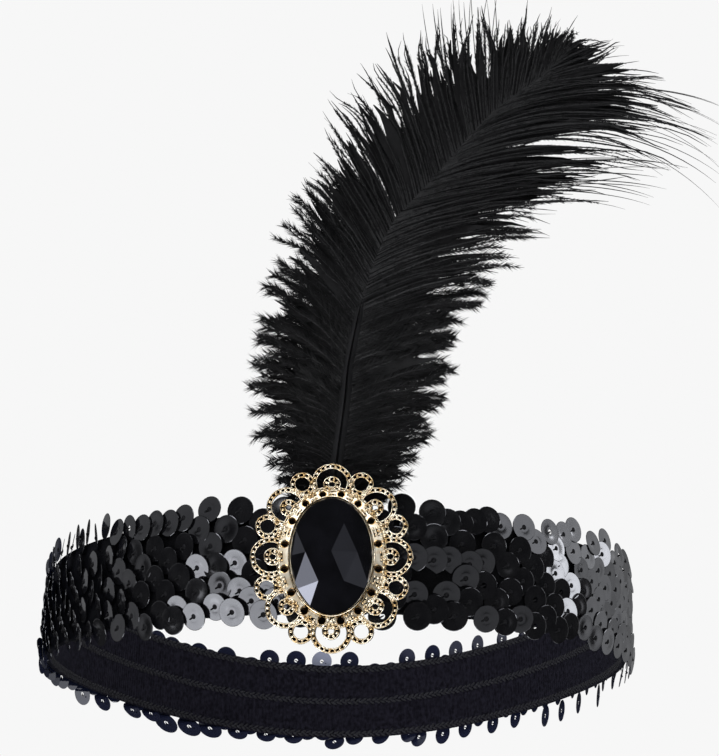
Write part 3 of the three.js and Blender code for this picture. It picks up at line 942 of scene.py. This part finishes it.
# Barbs: where they leave the quill as a share of its length, the angle at which they leave it and the
# lean of their tips from straight up, in degrees, and their reach as a share of the plume's height
BARB_ROWS = {
    "left": [
        (0.112, 62, -84, 0.086), (0.153, 52, -82, 0.124), (0.217, 45, -76, 0.178), (0.305, 45, -66, 0.204),
        (0.385, 46, -54, 0.208), (0.475, 50, -42, 0.218), (0.577, 55, -34, 0.242), (0.646, 58, -27, 0.285),
        (0.729, 58, -16, 0.27), (0.803, 55, -5, 0.235), (0.875, 48, 7, 0.192), (0.94, 38, 20, 0.112),
        (1.0, 18, 42, 0.03),
    ],
    "right": [
        (0.118, 70, 86, 0.106), (0.153, 66, 88, 0.142), (0.217, 62, 82, 0.173), (0.316, 60, 80, 0.208),
        (0.369, 56, 79, 0.218), (0.475, 48, 86, 0.31), (0.556, 42, 88, 0.395), (0.628, 34, 91, 0.435),
        (0.712, 26, 98, 0.465), (0.761, 22, 101, 0.47), (0.836, 20, 101, 0.405), (0.904, 20, 92, 0.26),
        (0.945, 18, 82, 0.15), (0.975, 14, 74, 0.1), (1.0, 10, 64, 0.045),
    ],
}
BARBS_A_SIDE = 260
BARB_STEPS = 13
BARB_WIDTH = 0.34
BARB_THICKNESS = 0.16
WEBS_A_SIDE = 130
WEB_STEPS = 9
WEB_WIDTH = 2.7
WEB_THICKNESS = 0.1
CLUMP_PITCH = 0.017
STRAYS = 0.12
# Where along the quill the loose lower barbs give way to the sleek upper ones, the downy barbules to
# short ones, and the barbs' feet come to lie in front of the shaft, and by how much
LOOSE_TO = (0.35, 0.6)
DOWNY_TO = (0.35, 0.62)
FEET_FORWARD_TO = (0.4, 0.52)
FEET_FORWARD = 0.9
# Shortest and longest of a side's webs and barbs, as shares of their whole length
WEB_LENGTHS = (0.6, 0.86)
BARB_LENGTHS = (0.66, 1.0)
WEB_BACK = 0.5
LONG_TIPS = {"left": (0.74, 0.98, 22), "right": (0.6, 0.98, 26)}
LONG_TIP_WIDTH = 0.24
# Widths of strands as shares, at shares of their length
WEB_PROFILE = [(0, 0.8), (0.2, 1), (0.6, 0.85), (1, 0.08)]
BARB_PROFILE = [(0, 1), (0.6, 0.9), (0.92, 0.7), (1, 0.2)]
TIP_PROFILE = [(0, 1), (0.7, 0.8), (1, 0.15)]
BARBULE_WIDTH = 0.165
BARBULE_THICKNESS = 0.06
BARBULES = {"left": (22000, 26500), "right": (24500, 28500)}
SPLIT = 0.42


def read_at(where, places, rows):
    """Rows of numbers that are given at places, read off at where."""
    return np.stack([np.interp(where, places, column) for column in np.transpose(rows)], -1)


def smooth_line(points, count):
    """A Catmull-Rom line through points, at places spaced evenly along it."""
    ends = np.concatenate([[2 * points[0] - points[1]], points, [2 * points[-1] - points[-2]]])
    t = np.linspace(0, 1, 41)[:-1, None]
    parts = []
    for a, b, c, d in zip(ends, ends[1:], ends[2:], ends[3:]):
        curved = (2 * a - 5 * b + 4 * c - d) * t**2 + (3 * b - a - 3 * c + d) * t**3
        parts.append(0.5 * (2 * b + (c - a) * t + curved))
    fine = np.concatenate([*parts, points[-1:]])
    run = runs(fine)
    return read_at(np.linspace(0, run[-1], count), run, fine)


_up, _aside, _forward = np.transpose(QUILL_LINE) * PLUME_HEIGHT
QUILL = smooth_line(np.stack([_aside, _up - QUILL_DROP, _forward + QUILL_OUT], -1), 401)
QUILL_SHARES = np.linspace(0, 1, len(QUILL))
QUILL_HEADING = unit(np.gradient(QUILL, axis=0))


def flat_axes(along):
    """The way across a flat strand and the way out of its face, from the way it runs."""
    side = unit(np.cross(along, [0, 0, 1.0]))
    return side, np.cross(side, along)


def turned_about_out(vectors, angle):
    c, s = np.cos(angle), np.sin(angle)
    x, y, z = vectors.T
    return np.stack([c * x - s * y, s * x + c * y, z], -1)


def barb_curve(side, root, t, swing, stretch, depth):
    """Points at shares t along the barbs that leave the quill at root, swung in degrees, stretched and
    pushed forward by depth at their tips."""
    sign = 1 if side == "right" else -1
    rows = np.array(BARB_ROWS[side])
    leave, lean, reach = read_at(root, rows[:, 0], rows[:, 1:]).T
    reach = reach * stretch * PLUME_HEIGHT
    lean = np.radians(lean + swing)
    heading = read_at(root, QUILL_SHARES, QUILL_HEADING)
    start = read_at(root, QUILL_SHARES, QUILL)
    start[:, 2] += FEET_FORWARD * ease(root, *FEET_FORWARD_TO)
    leaving = turned_about_out(heading, -sign * np.radians(leave))
    chord = np.stack([np.sin(lean), np.cos(lean), heading[:, 2]], -1)
    tip = start + chord * reach[:, None]
    near = start + leaving * reach[:, None] * 0.33
    far = start + (leaving * 0.34 + chord * 0.44) * reach[:, None]
    t = t[..., None]
    line = start[:, None] * (1 - t) ** 3 + 3 * near[:, None] * t * (1 - t) ** 2
    line = line + 3 * far[:, None] * t**2 * (1 - t) + tip[:, None] * t**3
    line[..., 2] += depth[:, None] * t[..., 0] ** 1.3
    return line


class Clumps:
    """Where one side's barbs gather: the clumps' edges along the quill, and how each one's leading barb
    is swung, stretched and pushed forward."""

    def __init__(self, side):
        self.side = side
        self.first, self.last = BARB_ROWS[side][0][0], BARB_ROWS[side][-1][0]
        steps = rng.gamma(2.2, CLUMP_PITCH / 2.2, round(3 / CLUMP_PITCH)) + 0.004
        edges = self.first + np.cumsum(steps)
        self.edges = edges[edges < self.last]
        ends = np.concatenate([[self.first], self.edges, [self.last]])
        centre = (ends[1:] + ends[:-1]) / 2
        high = ease(centre, *LOOSE_TO)
        swing = rng.normal(0, 1.5, len(centre)) * (1 + 0.5 * high)
        stretch = 1.02 - (0.06 + 0.08 * high) * rng.random(len(centre))
        self.leading = np.array([centre, swing, stretch, rng.normal(0, 2.4, len(centre))])


def barb_paths(clumps, count, steps, shortest, longest):
    """Middle lines of one side's barbs: even at the quill, and drawn together in clumps at their tips."""
    side, first, last = clumps.side, clumps.first, clumps.last
    root = np.clip(np.linspace(first, last, count) + rng.normal(0, 0.4 / count, count), first, last)
    low = 1 - ease(root, *LOOSE_TO)
    length = rng.uniform(shortest, longest, count) * (1 - 0.12 * (1 - low) * (longest < 1))
    t = np.linspace(0, 1, steps)[None] * length[:, None]
    own = barb_curve(side, root, t, rng.normal(0, 3.5, count), np.ones(count), rng.normal(0, 1.6, count))
    centre, swing, stretch, depth = clumps.leading[:, np.searchsorted(clumps.edges, root)]
    lead = barb_curve(side, centre, t, swing, stretch, depth)
    pull = (0.92 - 0.6 * low) * np.where(rng.random(count) < STRAYS, 0.2, rng.uniform(0.8, 1, count))
    lines = own + (lead - own) * (pull[:, None] * ease(t, 0.45, 1))[..., None]
    wave = rng.normal(0, 0.2, (count, 4, 3))
    along = np.linspace(0, 1, steps)[None, :, None]
    for k in range(4):
        lines = lines + wave[:, k, None] * np.sin((k + 2) * pi * along) * along
    return lines, root


def long_tips(side):
    """Middle lines of the single bare barbs that reach beyond the rest, high on the plume."""
    first, last, count = LONG_TIPS[side]
    root = rng.uniform(first, last, count)
    t = np.broadcast_to(np.linspace(0.45, 1, BARB_STEPS), (count, BARB_STEPS))
    swing, stretch = rng.normal(0, 4, count), rng.uniform(0.98, 1.09, count)
    return barb_curve(side, root, t, swing, stretch, rng.normal(0, 2, count))


def strand_shape(lines, width, thickness, profile):
    """A flat strand along each line. profile gives its width at shares of its length."""
    count, steps = lines.shape[:2]
    side, face = flat_axes(unit(np.gradient(lines, axis=1)))
    step = np.linspace(0, 1, steps)
    wide = np.interp(step, *zip(*profile))[None] * rng.uniform(0.75, 1.25, (count, 1)) * width / 2
    thick = np.interp(step, [0, 0.7, 1], [1, 0.7, 0.35]) * thickness / 2
    twist = (rng.normal(0, 0.35, (count, 1)) + rng.normal(0, 0.4, (count, 1)) * step)[..., None]
    across = (side * np.cos(twist) + face * np.sin(twist)) * wide[..., None]
    through = (face * np.cos(twist) - side * np.sin(twist)) * thick[None, :, None]
    rows = np.stack([lines + across, lines + through, lines - across, lines - through], 2)
    _, faces = loft(rows[0])
    return rows.reshape(-1, 3), repeated(faces, count, 4 * steps)


def barbule_shape(side, lines, root, count):
    """Fine closed spikes that stand forward on both sides of the barbs, longer where the plume is downy
    and short on the long barbs at its upper right."""
    steps = lines.shape[1]
    run = np.linalg.norm(np.diff(lines, axis=1), axis=2).sum(axis=1)
    which = rng.choice(len(lines), count, p=run / run.sum())
    down = 1 - ease(root[which], *DOWNY_TO)
    sleek = ease(root[which], 0.52, 0.66) * (1.0 if side == "right" else 0.35)
    t = rng.uniform(0, 1, count) ** 0.65 * (0.84 + 0.14 * down)
    place = t * (steps - 1)
    low = np.minimum(place.astype(int), steps - 2)
    part = (place - low)[:, None]
    here = lines[which, low] * (1 - part) + lines[which, low + 1] * part
    along = unit(lines[which, low + 1] - lines[which, low])
    aside = unit(np.cross(along, [0, 0, 1.0])) * rng.choice([-1, 1], count)[:, None]
    face = np.cross(aside, along)
    opening = np.radians(24 + 8 * down + rng.normal(0, 6, count))[:, None]
    roll = rng.normal(0, 0.55, count)[:, None]
    out = aside * np.cos(roll) + face * np.sin(roll)
    heading = along * np.cos(opening) + out * np.sin(opening)
    size = (1.6 + 1.7 * down) * (1 - 0.25 * t - 0.5 * sleek * t) * rng.uniform(0.55, 1.2, count)
    base = unit(out * np.cos(opening) - along * np.sin(opening))
    wide, thick = base * BARBULE_WIDTH / 2, np.cross(heading, base) * BARBULE_THICKNESS / 2
    points = [here + wide, here - wide + thick, here - wide - thick, here + heading * size[:, None]]
    spike = np.array([[0, 2, 1], [0, 1, 3], [1, 2, 3], [2, 0, 3]])
    return np.stack(points, 1).reshape(-1, 3), repeated(spike, count, len(points))


RACHIS_SECTION = [
    # share of the half width, share of the half depth
    (1, 0), (0.75, 0.6), (0.2, 1), (0, 0.2), (-0.2, 1), (-0.75, 0.6), (-1, 0), (-0.6, -0.8), (0, -1),
    (0.6, -0.8),
]


def rachis_shape():
    """The shaft: round where the pad holds it, then flat with a groove along its front, then fine."""
    path = QUILL[::5]
    share = np.linspace(0, 1, len(path))
    wide = np.interp(share, [0, 0.1, 0.16, 0.4, 0.6, 1], [0.85, 0.85, 1.6, 1.25, 0.6, 0.25])
    deep = np.interp(share, [0, 0.1, 0.5, 1], [0.85, 0.8, 0.55, 0.25])
    side, face = flat_axes(unit(np.gradient(path, axis=0)))
    across, through = np.transpose(RACHIS_SECTION)
    rows = path[:, None] + side[:, None] * (across * wide[:, None])[..., None]
    return loft(rows + face[:, None] * (through * deep[:, None])[..., None])


# Camera and light
camera_data = bpy.data.cameras.new("camera")
camera_data.sensor_width = SENSOR
camera_data.lens = FOCAL_PIXELS * SENSOR / max(PHOTO)
camera_data.clip_start = 0.01
camera_data.clip_end = 30
camera = put_in_scene("camera", camera_data)
camera.location = [c * MM for c in CAMERA_PLACE]
camera.rotation_euler = (radians(90), 0, 0)
bpy.context.scene.camera = camera


def studio():
    """A round pale cove, floor and wall in one, that lights the part evenly and shows in no reflection."""
    profile = [
        (0.00002, -0.42), (2.2, -0.42), (2.8, -0.3), (3.15, 0.1), (3.2, 0.6), (3.2, 2.4), (2.2, 3.4),
        (0.00002, 3.6),
    ]
    points, faces = turned(profile, 64, closed=False)
    glow = {"Emission_Color": (1, 1, 1, 1), "Emission_Strength": STUDIO_GLOW}
    white = Look("studio_white", Base_Color=(0, 0, 0, 1), Specular_IOR_Level=0, **glow).material
    made = put_in_scene("studio", make_mesh("studio", points, faces[:, ::-1], white))
    made.visible_glossy = False
    made.visible_transmission = False
    made.visible_shadow = False


def card(name, azimuth, elevation, width, height, radiance):
    """A soft rectangular light. Angles are degrees as seen from the brooch: azimuth from straight in
    front, to the viewer's right, and the width and height that the card spans."""
    a, e = radians(azimuth), radians(elevation)
    away = Vector((sin(a) * cos(e), -cos(a) * cos(e), sin(e)))
    data = bpy.data.lights.new(name, "AREA")
    data.shape = "RECTANGLE"
    data.size = 2 * CARD_DISTANCE * tan(radians(width / 2))
    data.size_y = 2 * CARD_DISTANCE * tan(radians(height / 2))
    data.energy = radiance * pi * data.size * data.size_y
    data.color = CARD_COLOUR
    made = put_in_scene(name, data)
    made.location = Vector(FOCUS) + away * CARD_DISTANCE
    made.rotation_euler = away.to_track_quat("Z", "Y").to_euler()


# Cards: azimuth, elevation, width, height, radiance
CARDS = {
    "left_low": (-64, -11.5, 28, 10, 4.7),
    "left_near": (-41, -11.5, 18, 10, 3.9),
    "left_facet": (-61.5, 3, 9, 8, 2.2),
    "left_low_facet": (-59, -7.5, 10, 5, 2.4),
    "left_high": (-90, 23, 56, 22, 0.34),
    "left_dim": (-127, 0, 48, 24, 0.3),
    "upper_facet": (23, 43, 8, 8, 0.2),
    "lower_facet": (19.5, 27, 8, 8, 0.25),
    "right_low_front": (24.5, -11.5, 43, 9, 0.36),
    "right_crown": (60, 3, 7, 8, 0.3),
    "right_high": (79.5, 28, 25, 14, 1.9),
    "right_edge": (97, 11, 13, 7, 7.5),
    "right_near_high": (110, 12.5, 17, 13, 1.45),
    "right_mid_high": (129, 11.5, 21, 15, 0.85),
    "right_far_high": (150, 11.5, 21, 15, 0.45),
    "right_near": (111, -5, 15, 20, 0.85),
    "right_mid": (129, -6, 21, 20, 0.48),
    "right_far": (150, -6, 21, 20, 0.24),
    "brow": (0, 68, 70, 20, 4.8),
    "low_front": (0, -44, 80, 24, 4.5),
    "right_low": (68, -36, 36, 14, 1.1),
    "left_plate": (-47, 46, 22, 16, 5.0),
    "right_plate": (50, 46, 16, 14, 2.2),
    "left_low_plate": (-58, -34, 40, 14, 7.0),
    "left_rim": (-155, 32, 24, 34, 1.5),
    "right_rim": (165, 36, 24, 34, 2.0),
}

studio()
scene = bpy.context.scene
scene.view_settings.view_transform = "Standard"
world = bpy.data.worlds.new("dim_room")
world.use_nodes = True
background = world.node_tree.nodes["Background"].inputs
background["Color"].default_value = (1, 1, 1, 1)
background["Strength"].default_value = ROOM_GLOW
scene.world = world
for name, settings in CARDS.items():
    card(f"{name}_card", *settings)

# Build
elastic = add_piece("elastic_knit", elastic_shape(), KNIT, "elastic", 60, ["elastic_band"])
add_piece("chain_stitch", stitch_shape(), STITCH, "elastic", 80)


def add_sequins(name, place, look):
    add_piece(name, sequin_row_shape(place), look, "sequins", 8, ["sequin_field"])


places = sequin_places()
for row, place in enumerate(places):
    smoky = (place[:, 0] % 1 == SMOKY_SEQUIN[0] % 1) & (place[:, 1] == SMOKY_SEQUIN[1])
    add_sequins(f"sequin_row_{row + 1}", place[~smoky], BLACK_SEQUIN)
    if smoky.any():
        add_sequins("smoky_sequin", place[smoky], SMOKY)
add_piece("sequin_thread", join([thread_shape(places), knot_shape(places)]), THREAD, "sequins", 80)

gilt_pieces = [
    ("filigree_border", filigree_shape, GILT),
    # The pits' dark sheets carry patina and painted shade.
    ("filigree_pits_patina_and_shade", pit_shape, PATINA_AND_PAINTED_SHADE),
    ("pierced_plate", pierced_plate, SATIN_GILT),
    ("hole_collars", collar_shape, OLD_GILT),
    ("inner_grains", inner_grain_shape, GILT),
    ("bezel", bezel_shape, GILT),
]
for name, make, look in gilt_pieces:
    add_on_front(name, make(), look, "gilt", 50, ["brooch_setting"])

for name, look in (("brooch_stone", GLASS), ("mounting_pad", FELT)):
    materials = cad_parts[name].data.materials
    materials.clear()
    materials.append(look)


def add_plume(name, shape, look, smooth_below=None):
    add_on_front(name, shape, look, "feather", smooth_below, ["feather"])


rng = np.random.default_rng(PLUME_SEED)
add_plume("rachis", rachis_shape(), SHAFT, 60)
for side, (low_count, high_count) in BARBULES.items():
    clumps = Clumps(side)
    webs, _ = barb_paths(clumps, WEBS_A_SIDE, WEB_STEPS, *WEB_LENGTHS)
    webs[..., 2] -= WEB_BACK
    add_plume(f"webs_{side}", strand_shape(webs, WEB_WIDTH, WEB_THICKNESS, WEB_PROFILE), DOWN)
    lines, root = barb_paths(clumps, BARBS_A_SIDE, BARB_STEPS, *BARB_LENGTHS)
    add_plume(f"barbs_{side}", strand_shape(lines, BARB_WIDTH, BARB_THICKNESS, BARB_PROFILE), BARBS)
    tips = long_tips(side)
    add_plume(f"long_tips_{side}", strand_shape(tips, LONG_TIP_WIDTH, BARB_THICKNESS, TIP_PROFILE), BARBS)
    low = root < SPLIT
    add_plume(f"barbules_{side}_low", barbule_shape(side, lines[low], root[low], low_count), DOWN)
    add_plume(f"barbules_{side}_high", barbule_shape(side, lines[~low], root[~low], high_count), DOWN)
